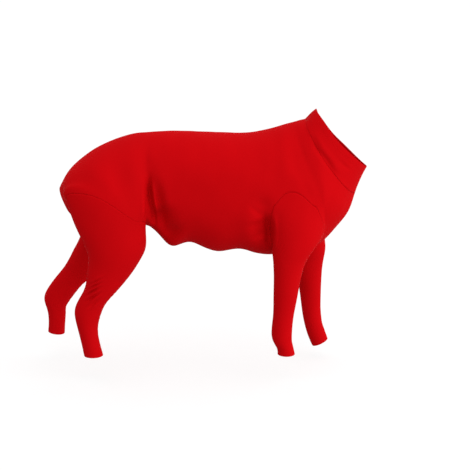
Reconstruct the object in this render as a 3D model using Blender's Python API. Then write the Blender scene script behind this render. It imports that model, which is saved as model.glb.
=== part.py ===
# Dog recovery suit: a full-body stretch jersey suit with four legs, kept in the form it has when worn.
# The dog faces +X and +Z is up. The origin is on the inner face of the cloth over the withers.
import math
from collections import namedtuple

import bpy
from mathutils import Vector

# Named sizes, in metres.
BODY_LENGTH = 0.517
CHEST_DEPTH = 0.300
HALF_CHEST = 0.104
LEG_REACH = 0.520
LEG_SPREAD = 0.085
THIGH_DEPTH = 0.150
ARM_DEPTH = 0.100
WALL = 0.0015
SEAM_GAP = 0.0003
SMOOTHING_LEVEL = 1
FITTING_PASSES = 60

# Weights of Catmull-Clark smoothing, which say where a cage point ends up: that of each neighbour along an edge,
# the number added to the count of neighbours, and that of the point itself on an open border.
EDGE_WEIGHT = 4
COUNT_OFFSET = 5
BORDER_WEIGHT = 4

# The red jersey as linear light, the same dye for every panel.
JERSEY_RED = (0.58, 0.0030, 0.0045)
JERSEY_ROUGHNESS = 0.75

# One row per section of the body, from the seat to the neck edge. Columns hold the back line, the widest point
# of the side and the belly line, as shares of BODY_LENGTH along X, HALF_CHEST along Y and CHEST_DEPTH along Z.
# "bow" moves the quarter points back, and "full" widens them.
Section = namedtuple("Section", "name top_x top_z side_x side_y side_z low_x low_z bow full")
SECTIONS = [Section(*row) for row in (
    ("opening", -1.000, -0.477, -0.948, 0.471, -0.640, -0.865, -0.790, 0.000, 0.05),
    ("seat", -0.963, -0.360, -0.946, 0.769, -0.550, -0.820, -0.810, 0.000, 0.04),
    ("hip", -0.894, -0.243, -0.828, 1.038, -0.617, -0.762, -0.803, 0.000, 0.03),
    ("rump", -0.789, -0.133, -0.723, 1.077, -0.640, -0.700, -0.777, 0.000, 0.02),
    ("thigh_front", -0.677, -0.068, -0.623, 0.962, -0.617, -0.644, -0.750, 0.000, 0.02),
    ("flank", -0.603, -0.052, -0.588, 0.827, -0.527, -0.594, -0.785, 0.000, 0.03),
    ("groin", -0.545, -0.045, -0.540, 0.837, -0.500, -0.544, -0.880, 0.000, 0.04),
    ("belly_1", -0.484, -0.043, -0.487, 0.856, -0.493, -0.495, -0.933, 0.000, 0.04),
    ("belly_2", -0.412, -0.046, -0.422, 0.894, -0.493, -0.429, -0.900, 0.000, 0.04),
    ("belly_3", -0.338, -0.051, -0.350, 0.933, -0.497, -0.360, -0.943, 0.000, 0.04),
    ("rib_1", -0.261, -0.056, -0.275, 0.962, -0.503, -0.286, -0.973, 0.000, 0.04),
    ("rib_2", -0.190, -0.058, -0.203, 0.981, -0.507, -0.205, -0.953, 0.000, 0.04),
    ("rib_3", -0.135, -0.050, -0.132, 0.995, -0.510, -0.128, -0.987, 0.000, 0.03),
    ("elbow", -0.089, -0.035, -0.066, 1.000, -0.513, -0.058, -1.000, 0.000, 0.02),
    ("arm", -0.050, -0.017, -0.008, 1.000, -0.510, 0.008, -0.993, 0.000, 0.01),
    ("shoulder", -0.014, 0.001, 0.060, 0.981, -0.500, 0.081, -0.973, 0.006, 0.00),
    ("breast", 0.019, 0.017, 0.118, 0.923, -0.480, 0.155, -0.923, 0.010, 0.00),
    ("chest_1", 0.046, 0.030, 0.149, 0.875, -0.423, 0.221, -0.800, 0.014, 0.00),
    ("chest_2", 0.070, 0.042, 0.161, 0.817, -0.330, 0.282, -0.663, 0.015, 0.01),
    ("collar_seam", 0.091, 0.052, 0.162, 0.760, -0.233, 0.311, -0.517, 0.015, 0.02),
    ("collar", 0.108, 0.087, 0.186, 0.712, -0.163, 0.333, -0.407, 0.010, 0.02),
    ("neck_edge", 0.133, 0.123, 0.217, 0.663, -0.090, 0.360, -0.313, 0.006, 0.02),
)]

# One row per point of a seam round a leg hole. "angle" is where that point's line of the leg runs, in degrees
# from the outer side towards the front. "left_shift" is how far forward the left leg's seam lies.
SeamPoint = namedtuple("SeamPoint", "angle x y z left_shift")
THIGH_SEAM = [SeamPoint(*row) for row in (
    (45, -0.623, 0.952, -0.677, -0.008),
    (75, -0.608, 0.769, -0.700, -0.012),
    (105, -0.619, 0.538, -0.730, -0.015),
    (135, -0.650, 0.327, -0.767, -0.019),
    (165, -0.716, 0.260, -0.800, -0.023),
    (195, -0.793, 0.279, -0.817, -0.023),
    (225, -0.867, 0.385, -0.793, -0.019),
    (255, -0.921, 0.500, -0.710, -0.015),
    (285, -0.944, 0.644, -0.600, -0.008),
    (315, -0.948, 0.769, -0.487, 0.000),
    (345, -0.834, 1.014, -0.477, 0.000),
    (15, -0.721, 1.072, -0.580, -0.004),
)]
SLEEVE_SEAM = [SeamPoint(*row) for row in (
    (45, 0.128, 0.899, -0.573, 0.015),
    (75, 0.161, 0.731, -0.710, 0.023),
    (105, 0.162, 0.529, -0.820, 0.031),
    (135, 0.135, 0.346, -0.900, 0.035),
    (165, 0.077, 0.279, -0.950, 0.039),
    (195, 0.010, 0.298, -0.967, 0.039),
    (225, -0.039, 0.404, -0.943, 0.035),
    (255, -0.062, 0.606, -0.860, 0.031),
    (285, -0.070, 0.846, -0.707, 0.023),
    (315, -0.058, 0.995, -0.553, 0.015),
    (345, -0.008, 0.998, -0.463, 0.008),
    (15, 0.062, 0.976, -0.477, 0.008),
)]

# One row per section of a leg, from the top to the hem. "drop" is the way down as a share of LEG_REACH, "spread"
# the way out as a share of LEG_SPREAD, "depth" front to back and "width" side to side as shares of the leg's own
# depth. "lean" tips the section down at the front and "roll" tips it up at the outer side, in degrees.
LegSection = namedtuple("LegSection", "x drop spread depth width lean roll")
RIGHT_LEG = [LegSection(*row) for row in (
    (-0.756, 0.473, 0.871, 1.013, 0.693, 7, 30),
    (-0.750, 0.546, 0.918, 0.820, 0.600, 6, 15),
    (-0.771, 0.607, 0.941, 0.663, 0.507, 14, 6),
    (-0.801, 0.665, 0.965, 0.527, 0.433, 25, 2),
    (-0.837, 0.731, 0.976, 0.393, 0.353, 31, 0),
    (-0.873, 0.806, 0.988, 0.400, 0.333, 22, 0),
    (-0.872, 0.885, 1.000, 0.313, 0.300, 12, 0),
    (-0.851, 0.998, 1.000, 0.283, 0.287, 0, 0),
)]
LEFT_LEG = [LegSection(*row) for row in (
    (-0.787, 0.473, 0.871, 1.013, 0.693, 10, 30),
    (-0.816, 0.544, 0.918, 0.827, 0.600, 18, 15),
    (-0.865, 0.604, 0.941, 0.667, 0.507, 30, 6),
    (-0.919, 0.662, 0.965, 0.533, 0.433, 39, 2),
    (-0.979, 0.725, 0.976, 0.407, 0.353, 42, 0),
    (-1.057, 0.827, 0.988, 0.400, 0.333, 24, 0),
    (-1.061, 0.892, 1.000, 0.293, 0.300, 6, 0),
    (-1.065, 0.995, 1.000, 0.267, 0.280, 8, 0),
)]
RIGHT_SLEEVE = [LegSection(*row) for row in (
    (0.035, 0.504, 0.906, 0.980, 0.780, 6, 28),
    (0.016, 0.573, 0.941, 0.745, 0.640, 3, 10),
    (0.007, 0.646, 0.965, 0.615, 0.560, 2, 3),
    (-0.002, 0.747, 0.976, 0.530, 0.500, 0, 0),
    (-0.010, 0.827, 0.988, 0.475, 0.460, -2, 0),
    (-0.016, 0.911, 1.000, 0.458, 0.450, 0, 0),
    (-0.002, 0.960, 1.000, 0.385, 0.420, -3, 0),
    (0.005, 0.992, 1.000, 0.390, 0.410, 0, 0),
)]
LEFT_SLEEVE = [LegSection(*row) for row in (
    (0.091, 0.504, 0.906, 1.040, 0.780, 4, 28),
    (0.117, 0.577, 0.941, 0.820, 0.640, 2, 10),
    (0.121, 0.650, 0.965, 0.690, 0.570, 2, 3),
    (0.126, 0.760, 0.976, 0.550, 0.510, 3, 0),
    (0.132, 0.837, 0.988, 0.490, 0.460, 5, 0),
    (0.140, 0.923, 1.000, 0.440, 0.440, 2, 0),
    (0.158, 0.990, 1.000, 0.430, 0.430, -10, 0),
    (0.179, 1.043, 1.000, 0.411, 0.420, -25, 0),
)]

# One row per leg hole: the panel, the section where the hole starts, its seam, its leg sections and its side.
Hole = namedtuple("Hole", "panel first_section seam sections depth side")
HOLES = (
    Hole("right_leg", "seat", THIGH_SEAM, RIGHT_LEG, THIGH_DEPTH, -1),
    Hole("left_leg", "seat", THIGH_SEAM, LEFT_LEG, THIGH_DEPTH, 1),
    Hole("right_sleeve", "elbow", SLEEVE_SEAM, RIGHT_SLEEVE, ARM_DEPTH, -1),
    Hole("left_sleeve", "elbow", SLEEVE_SEAM, LEFT_SLEEVE, ARM_DEPTH, 1),
)
PANELS = ("torso", "neck_collar", "right_leg", "left_leg", "right_sleeve", "left_sleeve")

POINTS_ROUND_BODY = 16
HOLE_SPAN = 3
HOLE_TOP_COLUMN = 4
HOLE_LOW_COLUMN = 7

# One row per fold: a path of two points on the cloth, how high it stands (less than 0 is a dent), its half width,
# and the panels it is in. X is a share of BODY_LENGTH, Y of HALF_CHEST and Z of CHEST_DEPTH.
Fold = namedtuple("Fold", "name start end height half_width panels")
FOLDS = [Fold(*row) for row in (
    ("right flank dent", (-0.592, -0.86, -0.24), (-0.590, -0.84, -0.70), -0.0050, 0.016, ("torso",)),
    ("left flank dent", (-0.592, 0.86, -0.24), (-0.590, 0.84, -0.70), -0.0050, 0.016, ("torso",)),
    ("right elbow hollow", (-0.105, -1.00, -0.56), (-0.100, -0.85, -0.84), -0.0050, 0.020, ("torso",)),
    ("left elbow hollow", (-0.105, 1.00, -0.56), (-0.100, 0.85, -0.84), -0.0050, 0.020, ("torso",)),
)]


def section_point(section, column, hole_top=math.pi / 2):
    """A point of one body section on the right side, from column 0 on the back line to column 8 on the belly.

    "hole_top" is the turn from the back line at which column 4 lies.
    """
    if column <= HOLE_TOP_COLUMN:
        turn = hole_top * column / HOLE_TOP_COLUMN
    else:
        turn = math.pi * column / (POINTS_ROUND_BODY // 2)
    end_x, end_z = (section.top_x, section.top_z) if turn <= math.pi / 2 else (section.low_x, section.low_z)
    toward_end = abs(math.cos(turn))
    diagonal = abs(math.sin(2 * turn))
    x = section.side_x + (end_x - section.side_x) * toward_end - section.bow * diagonal
    y = section.side_y * math.sin(turn) * (1 + section.full * diagonal)
    z = section.side_z + (end_z - section.side_z) * toward_end
    return Vector((x * BODY_LENGTH, -y * HALF_CHEST, z * CHEST_DEPTH))


def turn_at_height(section, z):
    """The turn from the back line at which a body section has this height, as a share of CHEST_DEPTH."""
    if z >= section.side_z:
        return math.acos((z - section.side_z) / (section.top_z - section.side_z))
    return math.pi - math.acos((z - section.side_z) / (section.low_z - section.side_z))


def mirrored(point):
    return Vector((point.x, -point.y, point.z))


def leg_point(section, depth, side, angle):
    """A point of one leg section, at an angle in degrees from the outer side towards the front."""
    turn = math.radians(angle)
    lean = math.radians(section.lean)
    roll = math.radians(section.roll)
    centre = Vector((section.x * BODY_LENGTH, side * section.spread * LEG_SPREAD, -section.drop * LEG_REACH))
    forward = Vector((math.cos(lean), 0, -math.sin(lean)))
    outward = Vector((0, side * math.cos(roll), math.sin(roll)))
    return (
        centre
        + forward * (section.depth * depth / 2 * math.sin(turn))
        + outward * (section.width * depth / 2 * math.cos(turn))
    )


def hole_border(first_station, side):
    """The cage places round a leg hole, from the outer front corner to the front, inner side and rear."""
    last_station = first_station + HOLE_SPAN
    columns = range(HOLE_TOP_COLUMN, HOLE_LOW_COLUMN + 1)
    border = [(last_station, column) for column in columns]
    border += [(station, HOLE_LOW_COLUMN) for station in range(last_station - 1, first_station - 1, -1)]
    border += [(first_station, column) for column in reversed(columns[:-1])]
    border += [(station, HOLE_TOP_COLUMN) for station in range(first_station + 1, last_station)]
    return [(station, column if side < 0 else POINTS_ROUND_BODY - column) for station, column in border]


def suit_cage():
    """The points and faces of the low cage through which the cloth passes, and the panel of each face."""
    points = []
    place = {}
    names = [section.name for section in SECTIONS]
    hole_tops = {}
    for hole in HOLES:
        border = hole_border(names.index(hole.first_section), -1)
        for seam_point, (station, column) in zip(hole.seam, border):
            if column == HOLE_TOP_COLUMN:
                hole_tops[station] = turn_at_height(SECTIONS[station], seam_point.z)
    for station, section in enumerate(SECTIONS):
        hole_top = hole_tops.get(station, math.pi / 2)
        for column in range(POINTS_ROUND_BODY):
            if column <= POINTS_ROUND_BODY // 2:
                point = section_point(section, column, hole_top)
            else:
                point = mirrored(section_point(section, POINTS_ROUND_BODY - column, hole_top))
            place[station, column] = len(points)
            points.append(point)

    collar_start = names.index("collar_seam")
    holes_at = set()
    faces = []
    face_panels = []
    for hole in HOLES:
        first = names.index(hole.first_section)
        border = hole_border(first, hole.side)
        for seam_point, spot in zip(hole.seam, border):
            shift = seam_point.left_shift if hole.side > 0 else 0
            points[place[spot]] = Vector((
                (seam_point.x + shift) * BODY_LENGTH,
                hole.side * seam_point.y * HALF_CHEST,
                seam_point.z * CHEST_DEPTH,
            ))
        for station in range(first, first + HOLE_SPAN):
            for column in range(HOLE_TOP_COLUMN, HOLE_LOW_COLUMN):
                holes_at.add((station, column if hole.side < 0 else POINTS_ROUND_BODY - 1 - column))
        upper = [place[spot] for spot in border]
        for section in hole.sections:
            lower = []
            for seam_point in hole.seam:
                lower.append(len(points))
                points.append(leg_point(section, hole.depth, hole.side, seam_point.angle))
            for number in range(len(hole.seam)):
                following = (number + 1) % len(hole.seam)
                face = [upper[number], lower[number], lower[following], upper[following]]
                faces.append(face if hole.side < 0 else face[::-1])
                face_panels.append(PANELS.index(hole.panel))
            upper = lower

    for station in range(len(SECTIONS) - 1):
        for column in range(POINTS_ROUND_BODY):
            if (station, column) in holes_at:
                continue
            following = (column + 1) % POINTS_ROUND_BODY
            faces.append([
                place[station, column],
                place[station, following],
                place[station + 1, following],
                place[station + 1, column],
            ])
            face_panels.append(PANELS.index("neck_collar" if station >= collar_start else "torso"))
    used = sorted({index for face in faces for index in face})
    renumbered = {index: number for number, index in enumerate(used)}
    faces = [[renumbered[index] for index in face] for face in faces]
    return [points[index] for index in used], faces, face_panels


def fitted_cage(points, faces):
    """The cage moved so that the smooth surface passes through the points of the tables."""
    beside = [set() for _ in points]
    across = [[] for _ in points]
    uses = {}
    for face in faces:
        for corner in range(4):
            here, following = face[corner], face[(corner + 1) % 4]
            beside[here].add(following)
            beside[following].add(here)
            across[here].append(face[(corner + 2) % 4])
            edge = (min(here, following), max(here, following))
            uses[edge] = uses.get(edge, 0) + 1
    border = {}
    for (here, following), count in uses.items():
        if count == 1:
            border.setdefault(here, []).append(following)
            border.setdefault(following, []).append(here)

    cage = [point.copy() for point in points]
    for _ in range(FITTING_PASSES):
        moved = []
        for index, target in enumerate(points):
            if index in border:
                limit = cage[index] * BORDER_WEIGHT + cage[border[index][0]] + cage[border[index][1]]
                limit /= BORDER_WEIGHT + 2
            else:
                count = len(beside[index])
                limit = cage[index] * count * count
                for other in sorted(beside[index]):
                    limit += cage[other] * EDGE_WEIGHT
                for other in across[index]:
                    limit += cage[other]
                limit /= count * (count + COUNT_OFFSET)
            moved.append(cage[index] + (target - limit))
        cage = moved
    return cage


def smooth_surface(points, faces, face_panels):
    """The cage after smoothing: the points, their outward directions, the faces and the panel of each."""
    mesh = bpy.data.meshes.new("cage")
    mesh.from_pydata([tuple(point) for point in points], [], faces)
    for _ in PANELS:
        mesh.materials.append(None)
    for polygon, panel in zip(mesh.polygons, face_panels):
        polygon.material_index = panel
    cage = bpy.data.objects.new("cage", mesh)
    bpy.context.scene.collection.objects.link(cage)
    smoothing = cage.modifiers.new("smoothing", "SUBSURF")
    smoothing.levels = SMOOTHING_LEVEL
    smoothing.render_levels = SMOOTHING_LEVEL
    bpy.context.view_layer.update()
    evaluated = cage.evaluated_get(bpy.context.evaluated_depsgraph_get())
    smooth = evaluated.to_mesh()
    surface_points = [vertex.co.copy() for vertex in smooth.vertices]
    surface_faces = [list(polygon.vertices) for polygon in smooth.polygons]
    panels = [polygon.material_index for polygon in smooth.polygons]
    evaluated.to_mesh_clear()
    bpy.data.objects.remove(cage)
    bpy.data.meshes.remove(mesh)
    return surface_points, surface_faces, panels


def outward_directions(points, faces):
    directions = [Vector() for _ in points]
    for face in faces:
        corners = [points[index] for index in face]
        normal = (corners[2] - corners[0]).cross(corners[3] - corners[1])
        for index in face:
            directions[index] += normal
    return [direction.normalized() for direction in directions]


def distance_to_path(point, start, end):
    along = end - start
    share = (point - start).dot(along) / along.length_squared
    share = min(1.0, max(0.0, share))
    return (point - start - along * share).length


def folded(points, faces, panels):
    """The surface with the folds of the table raised on it or pressed into it."""
    directions = outward_directions(points, faces)
    in_panels = [set() for _ in points]
    for face, panel in zip(faces, panels):
        for index in face:
            in_panels[index].add(PANELS[panel])
    size = Vector((BODY_LENGTH, HALF_CHEST, CHEST_DEPTH))
    result = [point.copy() for point in points]
    for fold in FOLDS:
        start = Vector(fold.start) * size
        end = Vector(fold.end) * size
        for index, point in enumerate(points):
            if in_panels[index].isdisjoint(fold.panels):
                continue
            reach = distance_to_path(point, start, end) / fold.half_width
            result[index] += directions[index] * (fold.height * math.exp(-reach * reach))
    return result


def jersey(name):
    """The material of one panel: matt red stretch knit."""
    material = bpy.data.materials.new(name + "_jersey")
    material.use_nodes = True
    surface = material.node_tree.nodes["Principled BSDF"]
    surface.inputs["Base Color"].default_value = (*JERSEY_RED, 1)
    surface.inputs["Roughness"].default_value = JERSEY_ROUGHNESS
    surface.inputs["Metallic"].default_value = 0
    return material


def panel_solid(name, points, directions, faces):
    """One panel of cloth with its thickness: the seams are drawn in by half a gap, and the edges are closed."""
    edges = {}
    for face in faces:
        for corner, here in enumerate(face):
            edges[here, face[(corner + 1) % len(face)]] = True
    rim = [edge for edge in edges if (edge[1], edge[0]) not in edges]
    draw_in = {}
    for here, following in rim:
        inward = ((directions[here] + directions[following]) / 2).cross(points[following] - points[here])
        inward.normalize()
        for index in (here, following):
            draw_in[index] = draw_in.get(index, Vector()) + inward

    used = sorted({index for face in faces for index in face})
    renumbered = {index: number for number, index in enumerate(used)}
    outer = []
    for index in used:
        point = points[index]
        if index in draw_in:
            inward = draw_in[index]
            inward = (inward - directions[index] * inward.dot(directions[index])).normalized()
            point = point + inward * (SEAM_GAP / 2)
        outer.append(point)
    inner = [point - directions[index] * WALL for point, index in zip(outer, used)]
    count = len(used)
    solid_faces = []
    for face in faces:
        solid_faces.append([renumbered[index] for index in face])
        solid_faces.append([renumbered[index] + count for index in reversed(face)])
    for here, following in rim:
        first, second = renumbered[here], renumbered[following]
        solid_faces.append([second, first, first + count, second + count])

    mesh = bpy.data.meshes.new(name)
    mesh.from_pydata([tuple(point) for point in outer + inner], [], solid_faces)
    mesh.validate()
    mesh.materials.append(jersey(name))
    mesh.shade_smooth()
    panel = bpy.data.objects.new(name, mesh)
    bpy.context.scene.collection.objects.link(panel)
    return panel


def main():
    for existing in list(bpy.data.objects):
        bpy.data.objects.remove(existing)
    points, faces, face_panels = suit_cage()
    cage = fitted_cage(points, faces)
    points, faces, panels = smooth_surface(cage, faces, face_panels)
    points = folded(points, faces, panels)
    directions = outward_directions(points, faces)
    for number, name in enumerate(PANELS):
        panel_faces = [face for face, panel in zip(faces, panels) if panel == number]
        panel_solid(name, points, directions, panel_faces)


main()
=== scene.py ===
import itertools
import math
from collections import namedtuple

import bpy
import numpy as np
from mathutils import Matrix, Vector
from mathutils.kdtree import KDTree


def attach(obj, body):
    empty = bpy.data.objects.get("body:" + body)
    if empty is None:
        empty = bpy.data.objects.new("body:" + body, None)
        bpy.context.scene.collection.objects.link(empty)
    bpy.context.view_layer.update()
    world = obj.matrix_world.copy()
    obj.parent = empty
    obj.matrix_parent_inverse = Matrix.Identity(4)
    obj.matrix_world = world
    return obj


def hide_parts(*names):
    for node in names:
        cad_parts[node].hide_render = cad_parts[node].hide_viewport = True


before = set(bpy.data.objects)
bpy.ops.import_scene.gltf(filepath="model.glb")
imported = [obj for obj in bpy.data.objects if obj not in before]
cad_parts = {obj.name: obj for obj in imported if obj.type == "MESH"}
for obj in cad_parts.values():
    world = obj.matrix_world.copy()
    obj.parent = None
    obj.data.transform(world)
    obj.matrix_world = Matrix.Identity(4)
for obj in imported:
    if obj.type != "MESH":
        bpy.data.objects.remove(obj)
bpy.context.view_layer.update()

# The neck faces +X and +Z is up, in metres. The sizes and tables are those of the frame's source,
# so each panel of cloth lies on its solid.

# Named sizes, in metres.
BODY_LENGTH = 0.517
CHEST_DEPTH = 0.300
HALF_CHEST = 0.104
LEG_REACH = 0.520
LEG_SPREAD = 0.085
THIGH_DEPTH = 0.150
ARM_DEPTH = 0.100
SMOOTHING_LEVEL = 4
STEPS = 2 ** SMOOTHING_LEVEL
FITTING_PASSES = 60
BODY = "root"

# Weights of Catmull-Clark smoothing: that of each neighbour along an edge, the number added to the
# count of neighbours, and that of the point itself on an open border.
EDGE_WEIGHT = 4
COUNT_OFFSET = 5
BORDER_WEIGHT = 4

# One row per section of the body, from the seat to the neck edge. Columns hold the back line, the
# widest point of the side and the belly line, as shares of BODY_LENGTH along X, HALF_CHEST along Y
# and CHEST_DEPTH along Z. "bow" moves the quarter points back, and "full" widens them.
Section = namedtuple("Section", "name top_x top_z side_x side_y side_z low_x low_z bow full")
SECTIONS = [Section(*row) for row in (
    ("opening", -1.000, -0.477, -0.948, 0.471, -0.640, -0.865, -0.790, 0, 0.05),
    ("seat", -0.963, -0.360, -0.946, 0.769, -0.550, -0.820, -0.810, 0, 0.04),
    ("hip", -0.894, -0.243, -0.828, 1.038, -0.617, -0.762, -0.803, 0, 0.03),
    ("rump", -0.789, -0.133, -0.723, 1.077, -0.640, -0.700, -0.777, 0, 0.02),
    ("thigh_front", -0.677, -0.068, -0.623, 0.962, -0.617, -0.644, -0.750, 0, 0.02),
    ("flank", -0.603, -0.052, -0.588, 0.827, -0.527, -0.594, -0.785, 0, 0.03),
    ("groin", -0.545, -0.045, -0.540, 0.837, -0.500, -0.544, -0.880, 0, 0.04),
    ("belly_1", -0.484, -0.043, -0.487, 0.856, -0.493, -0.495, -0.933, 0, 0.04),
    ("belly_2", -0.412, -0.046, -0.422, 0.894, -0.493, -0.429, -0.900, 0, 0.04),
    ("belly_3", -0.338, -0.051, -0.350, 0.933, -0.497, -0.360, -0.943, 0, 0.04),
    ("rib_1", -0.261, -0.056, -0.275, 0.962, -0.503, -0.286, -0.973, 0, 0.04),
    ("rib_2", -0.190, -0.058, -0.203, 0.981, -0.507, -0.205, -0.953, 0, 0.04),
    ("rib_3", -0.135, -0.050, -0.132, 0.995, -0.510, -0.128, -0.987, 0, 0.03),
    ("elbow", -0.089, -0.035, -0.066, 1.000, -0.513, -0.058, -1.000, 0, 0.02),
    ("arm", -0.050, -0.017, -0.008, 1.000, -0.510, 0.008, -0.993, 0, 0.01),
    ("shoulder", -0.014, 0.001, 0.060, 0.981, -0.500, 0.081, -0.973, 0.006, 0.00),
    ("breast", 0.019, 0.017, 0.118, 0.923, -0.480, 0.155, -0.923, 0.010, 0.00),
    ("chest_1", 0.046, 0.030, 0.149, 0.875, -0.423, 0.221, -0.800, 0.014, 0.00),
    ("chest_2", 0.070, 0.042, 0.161, 0.817, -0.330, 0.282, -0.663, 0.015, 0.01),
    ("collar_seam", 0.091, 0.052, 0.162, 0.760, -0.233, 0.311, -0.517, 0.015, 0.02),
    ("collar", 0.108, 0.087, 0.186, 0.712, -0.163, 0.333, -0.407, 0.010, 0.02),
    ("neck_edge", 0.133, 0.123, 0.217, 0.663, -0.090, 0.360, -0.313, 0.006, 0.02),
)]

# One row per point of a seam round a leg hole. "angle" is where that point's line of the leg runs,
# in degrees from the outer side towards the front. "left_shift" is how far forward the left leg's
# seam lies.
SeamPoint = namedtuple("SeamPoint", "angle x y z left_shift")
THIGH_SEAM = [SeamPoint(*row) for row in (
    (45, -0.623, 0.952, -0.677, -0.008),
    (75, -0.608, 0.769, -0.700, -0.012),
    (105, -0.619, 0.538, -0.730, -0.015),
    (135, -0.650, 0.327, -0.767, -0.019),
    (165, -0.716, 0.260, -0.800, -0.023),
    (195, -0.793, 0.279, -0.817, -0.023),
    (225, -0.867, 0.385, -0.793, -0.019),
    (255, -0.921, 0.500, -0.710, -0.015),
    (285, -0.944, 0.644, -0.600, -0.008),
    (315, -0.948, 0.769, -0.487, 0.000),
    (345, -0.834, 1.014, -0.477, 0.000),
    (15, -0.721, 1.072, -0.580, -0.004),
)]
SLEEVE_SEAM = [SeamPoint(*row) for row in (
    (45, 0.128, 0.899, -0.573, 0.015),
    (75, 0.161, 0.731, -0.710, 0.023),
    (105, 0.162, 0.529, -0.820, 0.031),
    (135, 0.135, 0.346, -0.900, 0.035),
    (165, 0.077, 0.279, -0.950, 0.039),
    (195, 0.010, 0.298, -0.967, 0.039),
    (225, -0.039, 0.404, -0.943, 0.035),
    (255, -0.062, 0.606, -0.860, 0.031),
    (285, -0.070, 0.846, -0.707, 0.023),
    (315, -0.058, 0.995, -0.553, 0.015),
    (345, -0.008, 0.998, -0.463, 0.008),
    (15, 0.062, 0.976, -0.477, 0.008),
)]

# One row per section of a leg, from the top to the hem. "drop" is the way down as a share of
# LEG_REACH, "spread" the way out as a share of LEG_SPREAD, "depth" front to back and "width" side
# to side as shares of the leg's own depth. "lean" tips the section down at the front and "roll"
# tips it up at the outer side, in degrees.
LegSection = namedtuple("LegSection", "x drop spread depth width lean roll")
RIGHT_LEG = [LegSection(*row) for row in (
    (-0.756, 0.473, 0.871, 1.013, 0.693, 7, 30),
    (-0.750, 0.546, 0.918, 0.820, 0.600, 6, 15),
    (-0.771, 0.607, 0.941, 0.663, 0.507, 14, 6),
    (-0.801, 0.665, 0.965, 0.527, 0.433, 25, 2),
    (-0.837, 0.731, 0.976, 0.393, 0.353, 31, 0),
    (-0.873, 0.806, 0.988, 0.400, 0.333, 22, 0),
    (-0.872, 0.885, 1, 0.313, 0.300, 12, 0),
    (-0.851, 0.998, 1, 0.283, 0.287, 0, 0),
)]
LEFT_LEG = [LegSection(*row) for row in (
    (-0.787, 0.473, 0.871, 1.013, 0.693, 10, 30),
    (-0.816, 0.544, 0.918, 0.827, 0.600, 18, 15),
    (-0.865, 0.604, 0.941, 0.667, 0.507, 30, 6),
    (-0.919, 0.662, 0.965, 0.533, 0.433, 39, 2),
    (-0.979, 0.725, 0.976, 0.407, 0.353, 42, 0),
    (-1.057, 0.827, 0.988, 0.400, 0.333, 24, 0),
    (-1.061, 0.892, 1, 0.293, 0.300, 6, 0),
    (-1.065, 0.995, 1, 0.267, 0.280, 8, 0),
)]
RIGHT_SLEEVE = [LegSection(*row) for row in (
    (0.035, 0.504, 0.906, 0.980, 0.780, 6, 28),
    (0.016, 0.573, 0.941, 0.745, 0.640, 3, 10),
    (0.007, 0.646, 0.965, 0.615, 0.560, 2, 3),
    (-0.002, 0.747, 0.976, 0.530, 0.500, 0, 0),
    (-0.010, 0.827, 0.988, 0.475, 0.460, -2, 0),
    (-0.016, 0.911, 1, 0.458, 0.450, 0, 0),
    (-0.002, 0.960, 1, 0.385, 0.420, -3, 0),
    (0.005, 0.992, 1, 0.390, 0.410, 0, 0),
)]
LEFT_SLEEVE = [LegSection(*row) for row in (
    (0.091, 0.504, 0.906, 1.040, 0.780, 4, 28),
    (0.117, 0.577, 0.941, 0.820, 0.640, 2, 10),
    (0.121, 0.650, 0.965, 0.690, 0.570, 2, 3),
    (0.126, 0.760, 0.976, 0.550, 0.510, 3, 0),
    (0.132, 0.837, 0.988, 0.490, 0.460, 5, 0),
    (0.140, 0.923, 1, 0.440, 0.440, 2, 0),
    (0.158, 0.990, 1, 0.430, 0.430, -10, 0),
    (0.179, 1.043, 1, 0.411, 0.420, -25, 0),
)]

# One row per leg hole: the panel, the section where the hole starts, its seam, its leg sections and
# its side.
Hole = namedtuple("Hole", "panel first_section seam sections depth side")
HOLES = (
    Hole("right_leg", "seat", THIGH_SEAM, RIGHT_LEG, THIGH_DEPTH, -1),
    Hole("left_leg", "seat", THIGH_SEAM, LEFT_LEG, THIGH_DEPTH, 1),
    Hole("right_sleeve", "elbow", SLEEVE_SEAM, RIGHT_SLEEVE, ARM_DEPTH, -1),
    Hole("left_sleeve", "elbow", SLEEVE_SEAM, LEFT_SLEEVE, ARM_DEPTH, 1),
)
PANELS = ("torso", "neck_collar", "right_leg", "left_leg", "right_sleeve", "left_sleeve")

POINTS_ROUND_BODY = 16
HOLE_SPAN = 3
HOLE_TOP_COLUMN = 4
HOLE_LOW_COLUMN = 7

# The cloth, in metres. A hem is turned in once and sewn with two rows of stitches.
CLOTH = 0.0009
HEM_CLOTH = 0.0014
HEM_DEPTH = 0.013
HEM_RAISE = 0.00025
HEM_ROWS = (0.0088, 0.0112)
ROW_GROOVE = 0.00022
ROW_HALF_WIDTH = 0.0007
HEM_EDGE_RINGS = 4
SEAM_GAP = 0.00001
SEAM_GROOVE = 0.00006
SEAM_HALF_WIDTH = 0.0020
SEAM_BAND = 0.00018
SEAM_BAND_WIDTH = 0.0065
HEM_STEP_WIDTH = 0.0015
SEAM_STEP_WIDTH = 0.0020

# How close the rows of points lie at a hem, how far in, and elsewhere. The seat's hem is looked for
# in its first sections, and points this close are the same.
HEM_ROW_STEP = 0.0008
HEM_ROWS_REACH = 0.0170
TUBE_ROW_STEP = 0.0021
SEAT_HEM_SECTIONS = 3
SAME_PLACE = 0.000001

# Stitches: pitch along a row, length and thickness, how far a thread lies out of the cloth as a
# share of its radius, and its thickness along its length as shares. Each row of a seam lies
# SEAM_ROW_OFFSET from its line, and a thread that crosses it goes on by a share of the pitch.
PITCH = 0.0026
STITCH_LENGTH = 0.0020
STITCH_RADIUS = 0.00013
STITCH_LIFT = 0.1
STITCH_PROFILE = ((0.0, 0.25), (0.22, 1.0), (0.78, 1.0), (1.0, 0.25))
CROSSING_SHIFT = 0.5
SEAM_ROW_OFFSET = 0.0017

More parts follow.
